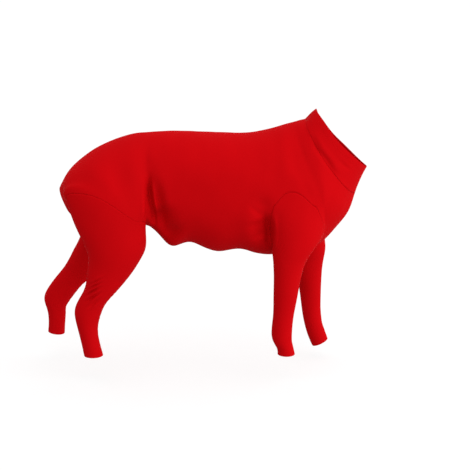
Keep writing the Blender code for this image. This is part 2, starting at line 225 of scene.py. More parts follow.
# The red of the photograph as linear light. Sleeves and legs are a little darker, as painted shade.
JERSEY_RED = (0.58, 0.0018, 0.0040)
THREAD_RED = (0.62, 0.0024, 0.0050)
LEG_PAINTED_SHADE = 0.985

# The jersey's knit: the pitch of its columns and rows of loops, how round a column is, how much the
# loops and loose fibre stand out of it, the scale and detail of slow uneven dye and of fibre, and
# how far each makes the shade vary. The knit's share is painted shade: the red is darker in the
# grooves between the loops and lighter on their tops.
WALE_PITCH = 0.0013
COURSE_PITCH = 0.0011
WALE_ROUNDNESS = 3.0
LOOP_RELIEF = 0.3
FIBRE_RELIEF = 0.5
SLOW_DYE = (9, 2)
FIBRE = (700, 3)
SLOW_SHADE = 0.5
KNIT_PAINTED_SHADE = 0.28
FIBRE_SHADE = 0.22

# The thread's knit is one loop, and its twist has a scale and detail.
THREAD_KNIT = 0.001
TWIST = (1800, 2)

# How far the dye of each cloth varies, its roughness and how much that grows with the shade, the
# strength and depth of its relief, and its surface.
Look = namedtuple("Look", "spread rough growth relief depth surface")
JERSEY_LOOK = Look(0.12, 0.60, 0.16, 0.35, 0.00012, {
    "Metallic": 0, "Specular IOR Level": 0.012, "Sheen Weight": 0.006, "Sheen Roughness": 0.4,
    "Sheen Tint": (1.0, 0.10, 0.10, 1),
})
THREAD_LOOK = Look(0.15, 0.38, 0.20, 0.30, 0.00008, {"Specular IOR Level": 0.03})

# Pale studio paper. A part of its light is its own, so it stays even.
PAPER_SURFACE = {
    "Base Color": (0.30, 0.30, 0.30, 1), "Roughness": 0.9, "Specular IOR Level": 0.0,
    "Emission Color": (1, 1, 1, 1), "Emission Strength": 0.72,
}

# How far the body panel's knit runs round it and along it, in metres.
TORSO_KNIT = (0.62, 0.66)

# Slow waves of plain cloth. Each row is a share and two sines, as radians for each metre of X, Y
# and Z and a start.
WAVE_HEIGHT = 0.0006
WAVES = (
    (1.0, (61, 0, 23, 1.3), (0, -19, 47, 0.4)),
    (0.6, (97, 31, -71, 2.1), (53, 83, 0, 0.0)),
)

# One row per large fold that both sides of the body panel have, as the solids do: its path on the
# left, its height and its half width.
Fold = namedtuple("Fold", "name start end height half_width")
FOLDS = [Fold(*row) for row in (
    ("flank dent", (-0.592, 0.86, -0.24), (-0.590, 0.84, -0.70), -0.0050, 0.016),
    ("elbow hollow", (-0.105, 1.00, -0.56), (-0.100, 0.85, -0.84), -0.0050, 0.020),
)]

# One row per fold of the cloth, in millimetres: its path, as X and Z of each point in turn, how far
# it stands out sideways (less than 0 is a dent), its half width, and the share of the path over
# which each end fades. "side" is -1 right, 1 left, 0 both. The right side's folds are those of the
# photograph, and the left flank has softer ones. A fold has its full height where the cloth faces
# sideways by FACING or more.
FACING = 0.3
MILLIMETRE = 0.001
Crease = namedtuple("Crease", "name path height half_width fade side")
CREASES = [Crease(*row) for row in (
    ("thigh front edge", (-316, -95, -316, -154, -318, -212), 4, 7, 0.3, -1),
    ("flank dent", (-308, -86, -305, -150, -301, -186, -295, -240), -18.5, 6.6, 0.4, -1),
    ("flank ridge", (-302, -98, -297, -144, -292, -172, -287, -206), 5.2, 3.6, 0.45, -1),
    ("flank outer dent", (-292, -100, -285, -155, -280, -187, -272, -240), -16, 11.5, 0.5, -1),
    ("groin hollow", (-296, -170, -270, -228, -240, -256), -24, 26, 0.3, -1),
    ("left flank dent", (-318, -96, -308, -150, -298, -186, -288, -232), -9, 10, 0.45, 1),
    ("left flank ridge", (-306, -110, -293, -150, -281, -190), 2.2, 6, 0.45, 1),
    ("left groin hollow", (-290, -180, -262, -232, -240, -250), -10, 24, 0.3, 1),
    ("sleeve rear edge", (-29, -176, -26, -226, -28, -276), 4.2, 5.8, 0.3, -1),
    ("elbow dent", (-56, -176, -43, -205, -38, -235, -38, -280), -11.5, 8, 0.4, -1),
    ("elbow hollow", (-66, -196, -52, -252), -7.4, 22, 0.3, -1),
    ("elbow fold", (-86, -162, -68, -180, -50, -196), -1.8, 6, 0.45, -1),
    ("neck crease", (46, 0, 66, -44, 88, -71, 116, -118), -4, 6.2, 0.4, 0),
    ("neck roll", (60, 0, 79, -40, 100, -66, 129, -112), 1.2, 6, 0.3, 0),
    ("throat crease", (105, -58, 130, -83, 153, -103), -1.4, 4.2, 0.5, 0),
    ("hock fold 1", (-446, -348, -424, -330, -402, -317), 2.4, 2.7, 0.5, -1),
    ("hock fold 2", (-452, -362, -431, -343, -404, -327), 3.2, 2.6, 0.5, -1),
    ("hock fold 3", (-457, -374, -436, -355, -407, -338), 3.6, 2.6, 0.5, -1),
    ("hock fold 4", (-458, -387, -436, -367, -409, -350), 3.6, 2.6, 0.5, -1),
    ("hock fold 5", (-455, -399, -434, -380, -410, -363), 3, 2.8, 0.5, -1),
    ("hock fold 6", (-446, -409, -429, -394, -412, -382), 2, 3, 0.5, -1),
    ("hock dent 1", (-449, -355, -428, -337, -403, -322), -2.6, 2.6, 0.5, -1),
    ("hock dent 2", (-455, -368, -434, -349, -406, -333), -3.4, 2.6, 0.5, -1),
    ("hock dent 3", (-458, -381, -437, -361, -409, -344), -3.6, 2.6, 0.5, -1),
    ("hock dent 4", (-456, -393, -436, -374, -410, -357), -3.2, 2.6, 0.5, -1),
    ("hock dent 5", (-450, -404, -431, -387, -411, -373), -2.4, 2.8, 0.5, -1),
    ("knee dimple", (-380, -334, -368, -346), -1.6, 7, 0.4, -1),
)]

# One row per group of ripples round a leg: the panel, the section numbers where it is centred and
# how far it runs, the angle where it is deepest and its half width in degrees, and in millimetres
# the spacing, the height, and how far the ripples rise over a quarter turn.
Ripple = namedtuple("Ripple", "panel section reach angle spread spacing height rise")
RIPPLES = [Ripple(*row) for row in (
    ("right_leg", 4.3, 0.8, 130, 50, 12, 0.9, 14),
    ("right_leg", 6.2, 0.8, 90, 70, 11, 0.5, 4),
    ("right_leg", 4.4, 0.9, 250, 55, 12.5, 0.8, -12),
    ("left_leg", 4.3, 0.8, 120, 60, 12, 1, 12),
    ("left_leg", 6.3, 0.8, 90, 70, 11, 0.5, 4),
    ("left_leg", 4.4, 0.9, 240, 55, 13, 0.8, -12),
    ("right_sleeve", 6.3, 0.9, 90, 80, 10, 0.5, 3),
    ("right_sleeve", 1.6, 0.9, 270, 60, 17, 0.9, 8),
    ("left_sleeve", 6.2, 0.9, 90, 90, 10, 0.6, 3),
    ("left_sleeve", 1.6, 0.9, 270, 60, 17, 0.9, 8),
)]

# The angle of a tube's first line, in degrees.
FIRST_TURN = 45

# What makes ripples uneven: how much each sine bends them, its turns round the leg and along it,
# and its start. Their strength varies too, by a share and its turns.
BENDS = ((0.45, 2.3, 2.9, 0.0), (0.30, 5.1, -4.7, 1.1))
UNEVENNESS = 0.4
UNEVEN_TURNS = (1.7, 5.3)

# The camera of the photograph, and the floor that the suit stands over when it's worn.
CAMERA_PLACE = (-0.115, -2.6, 0.347)
CAMERA_PITCH = 13.05
CAMERA_LENS = 88.2
SENSOR = 36.0
FLOOR_HEIGHT = -0.578
FLOOR_RADIUS = 34.0
FLOOR_FLAT_SHARE = 0.6
BOWL_RINGS = 12
BOWL_SIDES = 64

# The light: the sky's mean strength and how much it grows forward and upward, and a soft lamp in
# front.
SKY_MEAN = 0.81
SKY_GROWTH = (0.30, 0.0, 0.41)
KEY_POWER = 4.6
KEY_SIZE = 0.9
KEY_PLACE = (1.05, -0.75, -0.05)
KEY_AIM = (-0.05, 0.0, -0.15)


def section_point(section, column, hole_top=math.pi / 2):
    """A point of a body section's right side, from column 0 on the back line to 8 on the belly.

    "hole_top" is the turn from the back line at which column 4 lies.
    """
    if column <= HOLE_TOP_COLUMN:
        turn = hole_top * column / HOLE_TOP_COLUMN
    else:
        turn = math.pi * column / (POINTS_ROUND_BODY // 2)
    if turn <= math.pi / 2:
        end_x, end_z = section.top_x, section.top_z
    else:
        end_x, end_z = section.low_x, section.low_z
    toward_end = abs(math.cos(turn))
    diagonal = abs(math.sin(2 * turn))
    x = section.side_x + (end_x - section.side_x) * toward_end - section.bow * diagonal
    y = section.side_y * math.sin(turn) * (1 + section.full * diagonal)
    z = section.side_z + (end_z - section.side_z) * toward_end
    return Vector((x * BODY_LENGTH, -y * HALF_CHEST, z * CHEST_DEPTH))


def turn_at_height(section, z):
    """The turn from the back line at which a section has this height, a share of CHEST_DEPTH."""
    if z >= section.side_z:
        return math.acos((z - section.side_z) / (section.top_z - section.side_z))
    return math.pi - math.acos((z - section.side_z) / (section.low_z - section.side_z))


def leg_point(section, depth, side, angle):
    """A point of one leg section, at an angle in degrees from the outer side towards the front."""
    turn = math.radians(angle)
    lean = math.radians(section.lean)
    roll = math.radians(section.roll)
    spread = side * section.spread * LEG_SPREAD
    centre = Vector((section.x * BODY_LENGTH, spread, -section.drop * LEG_REACH))
    forward = Vector((math.cos(lean), 0, -math.sin(lean)))
    outward = Vector((0, side * math.cos(roll), math.sin(roll)))
    return (
        centre
        + forward * (section.depth * depth / 2 * math.sin(turn))
        + outward * (section.width * depth / 2 * math.cos(turn))
    )


def hole_border(first_station, side):
    """The cage places round a leg hole, from the outer front corner by the front and inner side."""
    last_station = first_station + HOLE_SPAN
    stations = range(first_station, last_station)
    columns = range(HOLE_TOP_COLUMN, HOLE_LOW_COLUMN + 1)
    border = [(last_station, column) for column in columns]
    border += [(station, HOLE_LOW_COLUMN) for station in reversed(stations)]
    border += [(first_station, column) for column in reversed(columns[:-1])]
    border += [(station, HOLE_TOP_COLUMN) for station in stations[1:]]
    if side > 0:
        border = [(station, POINTS_ROUND_BODY - column) for station, column in border]
    return border


def suit_cage():
    """The low cage's points and faces, with each face's panel and its corners' places in it."""
    points = []
    place = {}
    names = [section.name for section in SECTIONS]
    hole_tops = {}
    for hole in HOLES:
        border = hole_border(names.index(hole.first_section), -1)
        for seam_point, (station, column) in zip(hole.seam, border):
            if column == HOLE_TOP_COLUMN:
                hole_tops[station] = turn_at_height(SECTIONS[station], seam_point.z)
    for station, section in enumerate(SECTIONS):
        hole_top = hole_tops.get(station, math.pi / 2)
        for column in range(POINTS_ROUND_BODY):
            point = section_point(section, min(column, POINTS_ROUND_BODY - column), hole_top)
            if column > POINTS_ROUND_BODY // 2:
                point.y = -point.y
            place[station, column] = len(points)
            points.append(point)

    collar_start = names.index("collar_seam")
    holes_at = set()
    faces = []
    face_panels = []
    corner_places = []
    for hole in HOLES:
        first = names.index(hole.first_section)
        border = hole_border(first, hole.side)
        for seam_point, spot in zip(hole.seam, border):
            shift = seam_point.left_shift if hole.side > 0 else 0
            points[place[spot]] = Vector((
                (seam_point.x + shift) * BODY_LENGTH,
                hole.side * seam_point.y * HALF_CHEST,
                seam_point.z * CHEST_DEPTH,
            ))
        for station in range(first, first + HOLE_SPAN):
            for column in range(HOLE_TOP_COLUMN, HOLE_LOW_COLUMN):
                holes_at.add((station, column if hole.side < 0 else POINTS_ROUND_BODY - 1 - column))
        upper = [place[spot] for spot in border]
        for row, section in enumerate(hole.sections):
            lower = []
            for seam_point in hole.seam:
                lower.append(len(points))
                points.append(leg_point(section, hole.depth, hole.side, seam_point.angle))
            for number in range(len(hole.seam)):
                following = (number + 1) % len(hole.seam)
                right, below = number + 1, row + 1
                face = [upper[number], lower[number], lower[following], upper[following]]
                corners = [(number, row), (number, below), (right, below), (right, row)]
                faces.append(face[::-hole.side])
                corner_places.append(corners[::-hole.side])
                face_panels.append(PANELS.index(hole.panel))
            upper = lower

    for station in range(len(SECTIONS) - 1):
        for column in range(POINTS_ROUND_BODY):
            if (station, column) in holes_at:
                continue
            following = (column + 1) % POINTS_ROUND_BODY
            faces.append([
                place[station, column],
                place[station, following],
                place[station + 1, following],
                place[station + 1, column],
            ])
            right, onward = column + 1, station + 1
            corner_places.append(
                [(column, station), (right, station), (right, onward), (column, onward)]
            )
            face_panels.append(PANELS.index("neck_collar" if station >= collar_start else "torso"))
    used = sorted({index for face in faces for index in face})
    renumbered = {index: number for number, index in enumerate(used)}
    faces = [[renumbered[index] for index in face] for face in faces]
    return [points[index] for index in used], faces, face_panels, corner_places


def fitted_cage(points, faces):
    """The cage moved so that the smooth surface passes through the points of the tables."""
    beside = [set() for _ in points]
    across = [[] for _ in points]
    uses = {}
    for face in faces:
        for corner in range(4):
            here, following = face[corner], face[(corner + 1) % 4]
            beside[here].add(following)
            beside[following].add(here)
            across[here].append(face[(corner + 2) % 4])
            edge = (min(here, following), max(here, following))
            uses[edge] = uses.get(edge, 0) + 1
    border = {}
    for (here, following), count in uses.items():
        if count == 1:
            border.setdefault(here, []).append(following)
            border.setdefault(following, []).append(here)

    cage = [point.copy() for point in points]
    for _ in range(FITTING_PASSES):
        moved = []
        for index, target in enumerate(points):
            if index in border:
                before, after = border[index]
                limit = cage[index] * BORDER_WEIGHT + cage[before] + cage[after]
                limit /= BORDER_WEIGHT + 2
            else:
                count = len(beside[index])
                limit = cage[index] * count * count
                for other in sorted(beside[index]):
                    limit += cage[other] * EDGE_WEIGHT
                for other in across[index]:
                    limit += cage[other]
                limit /= count * (count + COUNT_OFFSET)
            moved.append(cage[index] + (target - limit))
        cage = moved
    return cage


def smooth_surface(points, faces, face_panels, corner_places):
    """The smoothed suit's points, and the corners, panel and corners' places of each face."""
    mesh = bpy.data.meshes.new("cage")
    mesh.from_pydata([tuple(point) for point in points], [], faces)
    for _ in PANELS:
        mesh.materials.append(None)
    mesh.polygons.foreach_set("material_index", face_panels)
    layer = mesh.uv_layers.new(name="place")
    layer.data.foreach_set("uv", np.array(corner_places, float).ravel())
    cage = placed("cage", mesh)
    smoothing = cage.modifiers.new("smoothing", "SUBSURF")
    smoothing.levels = SMOOTHING_LEVEL
    smoothing.uv_smooth = "NONE"
    bpy.context.view_layer.update()
    evaluated = cage.evaluated_get(bpy.context.evaluated_depsgraph_get())
    smooth = evaluated.to_mesh()

    def read(source, key, width, kind):
        values = np.empty(len(source) * width, kind)
        source.foreach_get(key, values)
        return values

    spots = read(smooth.vertices, "co", 3, np.float32).reshape(-1, 3).astype(float)
    corners = read(smooth.loops, "vertex_index", 1, np.int32).reshape(-1, 4)
    panels = read(smooth.polygons, "material_index", 1, np.int32)
    places = read(smooth.uv_layers["place"].data, "uv", 2, np.float32).reshape(-1, 4, 2)
    evaluated.to_mesh_clear()
    bpy.data.objects.remove(cage)
    bpy.data.meshes.remove(mesh)
    return spots, corners, panels, places


def placed(name, data):
    """A new object of this data, in the scene."""
    thing = bpy.data.objects.new(name, data)
    bpy.context.scene.collection.objects.link(thing)
    return thing


def unit(vectors):
    return vectors / np.maximum(np.linalg.norm(vectors, axis=-1, keepdims=True), 1e-12)


def outward_directions(points, quads):
    corners = points[quads]
    normals = np.cross(corners[:, 2] - corners[:, 0], corners[:, 3] - corners[:, 1])
    directions = np.zeros_like(points)
    for corner in range(4):
        np.add.at(directions, quads[:, corner], normals)
    return unit(directions)


def smooth_step(value):
    value = np.clip(value, 0, 1)
    return value * value * (3 - 2 * value)


def along_path(spots, path):
    """How far each spot is from a path, and its place along it as a share. Both are in X and Z."""
    path = np.reshape(path, (-1, 2)).astype(float)
    lengths = np.linalg.norm(np.diff(path, axis=0), axis=1)
    starts = np.concatenate(([0], np.cumsum(lengths)))
    best = np.full(len(spots), np.inf)
    share = np.zeros(len(spots))
    for number, length in enumerate(lengths):
        step = path[number + 1] - path[number]
        here = np.clip((spots - path[number]) @ step / length ** 2, 0, 1)
        distance = np.linalg.norm(spots - path[number] - here[:, None] * step, axis=1)
        nearer = distance < best
        best[nearer] = distance[nearer]
        share[nearer] = ((starts[number] + here * length) / starts[-1])[nearer]
    return best, share


def creased(points, directions, in_torso):
    """The points with the large folds and then the creases raised or pressed in."""
    result = points.copy()
    for fold, side in itertools.product(FOLDS, (-1, 1)):
        size = np.array((BODY_LENGTH, side * HALF_CHEST, CHEST_DEPTH))
        start = np.array(fold.start) * size
        way = np.array(fold.end) * size - start
        share = np.clip((points - start) @ way / (way @ way), 0, 1)
        reach = np.linalg.norm(points - start - share[:, None] * way, axis=1) / fold.half_width
        result += directions * (fold.height * np.exp(-reach ** 2) * in_torso)[:, None]
    spots = points[:, (0, 2)] / MILLIMETRE
    for crease in CREASES:
        distance, share = along_path(spots, crease.path)
        fade = smooth_step(share / crease.fade) * smooth_step((1 - share) / crease.fade)
        height = crease.height * MILLIMETRE * np.exp(-(distance / crease.half_width) ** 2) * fade
        for side in (-1, 1):
            if crease.side in (0, side):
                facing = smooth_step(directions[:, 1] * side / FACING)
                result[:, 1] += height * facing * side
    return result


def gentle_waves(points):
    """Slow irregular waves of the cloth, from -1 to 1."""
    spots = np.column_stack((points, np.ones(len(points))))
    heights = [share * np.sin(spots @ one) * np.sin(spots @ other) for share, one, other in WAVES]
    return sum(heights) / sum(share for share, _, _ in WAVES)


def panel_grid(quads, places):
    """The point numbers of one panel as a grid over its own count."""
    keys = np.rint(places * STEPS).astype(int)
    keys = keys - keys.min(axis=(0, 1))
    grid = np.full(keys.max(axis=(0, 1)) + 1, -1)
    grid[keys[..., 0], keys[..., 1]] = quads
    return grid


def resampled(rows, at):
    """Rows of points at fractional places along the first axis, by cubic interpolation."""
    last = len(rows) - 1
    at = np.clip(at, 0, last)
    base = np.minimum(at.astype(int), last - 1)
    part = (at - base).reshape((-1,) + (1,) * (rows.ndim - 1))
    before = rows[np.maximum(base - 1, 0)]
    start = rows[base]
    end = rows[base + 1]
    after = rows[np.minimum(base + 2, last)]
    before = np.where((base == 0).reshape(part.shape), 2 * start - end, before)
    after = np.where((base + 2 > last).reshape(part.shape), 2 * end - start, after)
    return start + 0.5 * part * (
        end - before
        + part * (
            2 * before - 5 * start + 4 * end - after + part * (3 * (start - end) + after - before)
        )
    )


def ring_directions(rows):
    """The directions square to a tube given as rows of rings, all outward or all inward."""
    round_way = np.roll(rows, -1, axis=1) - np.roll(rows, 1, axis=1)
    down_way = np.gradient(rows, axis=0)
    return unit(np.cross(round_way, down_way))


def distance_along(rows, from_end):
    """The way along the cloth from the first row, or from the last, to each point."""
    steps = np.linalg.norm(np.diff(rows, axis=0), axis=2)
    if from_end:
        steps = steps[::-1]
    way = np.concatenate((np.zeros((1, rows.shape[1])), np.cumsum(steps, axis=0)))
    return way[::-1] if from_end else way


def up_to(way, edge, width):
    """1 on this side of an edge and 0 past it, with a soft step of this width."""
    return 1 - smooth_step((way - edge) / width + 0.5)


def hem_height(way):
    """How far the hem stands out of the plain cloth, from the way in from its edge."""
    grooves = sum(np.exp(-((way - row) / ROW_HALF_WIDTH) ** 2) for row in HEM_ROWS)
    return HEM_RAISE * up_to(way, HEM_DEPTH, HEM_STEP_WIDTH) - ROW_GROOVE * grooves


def seam_height(way, band):
    """How far the cloth stands out beside a seam, from the way out from it. One side has a band."""
    groove = -SEAM_GROOVE * np.exp(-(way / SEAM_HALF_WIDTH) ** 2)
    return groove + band * SEAM_BAND * up_to(way, SEAM_BAND_WIDTH, SEAM_STEP_WIDTH)


def rippled(name, rows, sections):
    """The height of the ripples of one panel at each point."""
    height = np.zeros(rows.shape[:2])
    way = distance_along(rows, False) / MILLIMETRE
    turns = FIRST_TURN + 360 * np.arange(rows.shape[1]) / rows.shape[1]
    place = sections[:, None]
    for ripple in RIPPLES:
        if ripple.panel != name:
            continue
        near = np.exp(-((place - ripple.section) / ripple.reach) ** 2)
        apart = (turns[None, :] - ripple.angle + 180) % 360 - 180
        near = near * np.exp(-(apart / ripple.spread) ** 2)
        turn = np.radians(apart)
        bend = sum(
            size * np.sin(turn * round_way + place * down_way + start)
            for size, round_way, down_way, start in BENDS
        )
        uneven = np.sin(turn * UNEVEN_TURNS[0] + place * UNEVEN_TURNS[1] + ripple.angle)
        strength = 1 - UNEVENNESS + UNEVENNESS * uneven
        phase = 2 * math.pi * ((way - ripple.rise * apart / 90) / ripple.spacing + bend)
        height += ripple.height * MILLIMETRE * near * strength * np.sin(phase)
    return height


def cloth_mesh(name, points, faces, corner_places, material, rims=0):
    """One piece of cloth, with its knit laid round it and along it. Its last faces are rims."""
    mesh = bpy.data.meshes.new(name)
    mesh.from_pydata(points.tolist(), [], faces)
    mesh.polygons.foreach_set("use_smooth", np.arange(len(faces)) < len(faces) - rims)
    layer = mesh.uv_layers.new(name="knit")
    layer.data.foreach_set("uv", np.asarray(corner_places, float).ravel())
    mesh.materials.append(material)
    mesh.validate()
    piece = placed(name, mesh)
    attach(piece, BODY)
    return piece


def squares(grid):
    """The corners of each square between a grid's columns. The grid's last row meets its first."""
    below = np.roll(grid, -1, axis=0)
    corners = np.stack((grid[:, :-1], grid[:, 1:], below[:, 1:], below[:, :-1]), axis=2)
    return corners.reshape((-1,) + corners.shape[2:])


def tube_piece(name, outer, directions, thickness, sign, material, seam_inward):
    """A tube of cloth from its outer rows, from the seam, where it's drawn in, to a folded hem."""
    rows = outer.copy()
    rows[0] += seam_inward * (SEAM_GAP / 2)
    inner = rows - directions * thickness[:, :, None]
    middle = (rows[-1] + inner[-1]) / 2
    across = (rows[-1] - inner[-1]) / 2
    onward = unit(rows[-1] - rows[-2]) * (thickness[-1] / 2)[:, None]
    turns = math.pi * np.arange(1, HEM_EDGE_RINGS) / HEM_EDGE_RINGS
    edge = [middle + across * math.cos(turn) + onward * math.sin(turn) for turn in turns]
    rings = np.concatenate((rows, np.array(edge), inner[::-1]))
    count, around = rings.shape[:2]
    numbers = np.arange(count * around).reshape(count, around)
    quads = squares(np.hstack((numbers, numbers[:, :1])))[:, ::sign]
    girth = np.linalg.norm(np.roll(outer, -1, axis=1) - outer, axis=2).sum(axis=1).mean()
    length = distance_along(outer, False).mean(axis=1)
    down = np.concatenate((length, np.full(len(edge), length[-1]), length[::-1]))
    knit = np.stack(np.meshgrid(np.arange(around + 1) * girth / around, down), axis=-1)
    places = squares(knit)[:, ::sign]
    return cloth_mesh(name, rings.reshape(-1, 3), quads.tolist(), places, material, around)


def tube_rows(grid, values):
    """What each point of a closed panel has, as rows of rings along its grid."""
    return values[grid[:-1]].transpose(1, 0, 2)


def fine_rows(rows):
    """Where to take rows along a tube so that they are close at the hem and even elsewhere."""
    length = distance_along(rows, True).mean(axis=1)
    at_hem = np.arange(0, HEM_ROWS_REACH, HEM_ROW_STEP)
    count = int((length[0] - at_hem[-1]) / TUBE_ROW_STEP) + 1
    wanted = np.concatenate((at_hem, np.linspace(at_hem[-1], length[0], count)[1:]))
    return np.interp(wanted, length[::-1], np.arange(len(rows))[::-1])[::-1]


def even_path(ring):
    """Places round a closed ring at the stitches' pitch, as a number of steps and a part."""
    lengths = np.linalg.norm(np.roll(ring, -1, axis=0) - ring, axis=1)
    ends = np.concatenate(([0], np.cumsum(lengths)))
    count = max(3, int(round(ends[-1] / PITCH)))
    return np.interp(np.arange(count) * ends[-1] / count, ends, np.arange(len(ring) + 1))


def on_ring(ring, at):
    base = at.astype(int)
    part = (at - base)[:, None]
    return ring[base % len(ring)] * (1 - part) + ring[(base + 1) % len(ring)] * part


def stitch_piece(name, rows, material):
    """Short raised threads from each start to each end, lying on the cloth, as closed lozenges."""
    starts, ends, directions = rows
    along = ends - starts
    sideways = unit(np.cross(directions, unit(along)))
    around = ((1, 0), (0, 1), (-1, 0), (0, -1))
    points = []
    for share, size in STITCH_PROFILE:
        for side, up in around:
            points.append(
                starts + along * share
                + (sideways * side + directions * up) * STITCH_RADIUS * size
                + directions * STITCH_RADIUS * STITCH_LIFT
            )
    points = np.array(points).transpose(1, 0, 2)
    count = points.shape[1]
    faces = []
    for ring in range(0, count - 4, 4):
        for corner in range(4):
            here, following = ring + corner, ring + (corner + 1) % 4
            faces.append([here, following, following + 4, here + 4])
    faces += [[3, 2, 1, 0], list(range(count - 4, count))]
    faces = (np.array(faces)[None] + (np.arange(len(points)) * count)[:, None, None]).reshape(-1, 4)
    corners = np.array([(0, 0), (1, 0), (1, 1), (0, 1)]) * THREAD_KNIT
    places = np.tile(corners, (len(faces), 1))
    return cloth_mesh(name, points.reshape(-1, 3), faces.tolist(), places, material)


def sewn_rows(rings):
    """The starts, ends and outward directions of one row of stitches on each ring."""
    starts, ends, ups = [], [], []
    for ring, directions in rings:
        at = even_path(ring)
        step = at[1] * STITCH_LENGTH / PITCH
        starts.append(on_ring(ring, at))
        ends.append(on_ring(ring, at + step))
        ups.append(unit(on_ring(directions, at + step / 2)))
    return np.concatenate(starts), np.concatenate(ends), np.concatenate(ups)


def hem_rings(rows, directions, way):
    """The rings of the rows of stitches at a tube's hem, with their outward directions."""
    rings = []
    numbers = np.arange(len(rows))
    columns = np.arange(rows.shape[1])
    for row in HEM_ROWS:
        at = np.array([np.interp(-row, -column, numbers) for column in way.T])
        base = np.minimum(at.astype(int), len(rows) - 2)
        part = (at - base)[:, None]
        ring = rows[base, columns] * (1 - part) + rows[base + 1, columns] * part
        rings.append((ring, directions[base, columns]))
    return rings


def zigzag_rows(ring, directions, inward):
    """A flat seam on one ring: a row of stitches on each side and slanting threads between them."""
    sunk = directions * SEAM_GROOVE * math.exp(-(SEAM_ROW_OFFSET / SEAM_HALF_WIDTH) ** 2)
    left = ring + inward * SEAM_ROW_OFFSET - sunk
    right = ring - inward * SEAM_ROW_OFFSET - sunk
    at = even_path(ring)
    crossings = (
        on_ring(left, at),
        on_ring(right, at + at[1] * CROSSING_SHIFT),
        unit(on_ring(directions, at)),
    )
    sewn = sewn_rows([(left, directions), (right, directions)])
    return [np.concatenate(parts) for parts in zip(sewn, crossings)]


def math_node(nodes, links, operation, *values):
    node = nodes.new("ShaderNodeMath")
    node.operation = operation
    for socket, value in zip(node.inputs, values):
        if isinstance(value, (int, float)):
            socket.default_value = value
        else:
            links.new(value, socket)
    return node.outputs[0]


def painted(name, settings):
    """A new material with these settings, its nodes and links, and its surface."""
    material = bpy.data.materials.new(name)
    material.use_nodes = True
    surface = material.node_tree.nodes["Principled BSDF"]
    for socket, value in settings.items():
        surface.inputs[socket].default_value = value
    return material, material.node_tree.nodes, material.node_tree.links, surface


def noise(nodes, links, scale, detail):
    """Noise that stays with the piece."""
    spots = nodes.new("ShaderNodeTexCoord")
    texture = nodes.new("ShaderNodeTexNoise")
    texture.inputs["Scale"].default_value = scale
    texture.inputs["Detail"].default_value = detail
    links.new(spots.outputs["Object"], texture.inputs["Vector"])
    return texture.outputs["Fac"]


def dyed(nodes, links, surface, red, look, shade, height):
    """The surface's dye and roughness, which follow the shade, and its fine relief."""
    dye = nodes.new("ShaderNodeMix")
    dye.data_type = "RGBA"
    for socket, strength in (("A", 1 - look.spread), ("B", 1 + look.spread)):
        dye.inputs[socket].default_value = (*(part * strength for part in red), 1)
    links.new(shade, dye.inputs["Factor"])
    links.new(dye.outputs["Result"], surface.inputs["Base Color"])
    growth = math_node(nodes, links, "MULTIPLY", shade, look.growth)
    links.new(math_node(nodes, links, "ADD", look.rough, growth), surface.inputs["Roughness"])
    bump = nodes.new("ShaderNodeBump")
    bump.inputs["Strength"].default_value = look.relief
    bump.inputs["Distance"].default_value = look.depth
    links.new(height, bump.inputs["Height"])
    links.new(bump.outputs["Normal"], surface.inputs["Normal"])


def jersey(name, painted_shade_factor):
    """Fine stretch knit: columns of small V-shaped loops, uneven dye, painted shade between the
    loops and a soft sheen.
    """
    material, nodes, links, surface = painted(name, JERSEY_LOOK.surface)

    def calc(operation, *values):
        return math_node(nodes, links, operation, *values)

    knit = nodes.new("ShaderNodeUVMap")
    knit.uv_map = "knit"
    parts = nodes.new("ShaderNodeSeparateXYZ")
    links.new(knit.outputs["UV"], parts.inputs[0])
    across = calc("SUBTRACT", calc("FRACT", calc("DIVIDE", parts.outputs["X"], WALE_PITCH)), 0.5)
    slope = calc("ABSOLUTE", across)
    loops = calc("ADD", calc("DIVIDE", parts.outputs["Y"], COURSE_PITCH), slope)
    loop_wave = calc("SINE", calc("MULTIPLY", loops, 2 * math.pi))
    wale = calc("SUBTRACT", 1.0, calc("POWER", calc("MULTIPLY", slope, 2.0), WALE_ROUNDNESS))
    relief = calc("ADD", 1 - LOOP_RELIEF, calc("MULTIPLY", loop_wave, LOOP_RELIEF))
    knit_height = calc("MULTIPLY", wale, relief)

    slow = noise(nodes, links, *SLOW_DYE)
    fibre = noise(nodes, links, *FIBRE)
    # The red follows the knit's relief as painted shade, darker in its grooves, and slow dye and
    # fibre as uneven tone.
    shade = calc("MULTIPLY", slow, SLOW_SHADE)
    for part, share in ((knit_height, KNIT_PAINTED_SHADE), (fibre, FIBRE_SHADE)):
        shade = calc("ADD", shade, calc("MULTIPLY", part, share))
    height = calc("ADD", knit_height, calc("MULTIPLY", fibre, FIBRE_RELIEF))
    # Below 1, this factor darkens the red as painted shade, as on legs and sleeves.
    red = [part * painted_shade_factor for part in JERSEY_RED]
    dyed(nodes, links, surface, red, JERSEY_LOOK, shade, height)
    return material


def thread():
    """Polyester thread of the stitches: a little brighter than the jersey, with a twist."""
    material, nodes, links, surface = painted("thread_red", THREAD_LOOK.surface)
    twist = noise(nodes, links, *TWIST)
    dyed(nodes, links, surface, THREAD_RED, THREAD_LOOK, twist, twist)
    return material


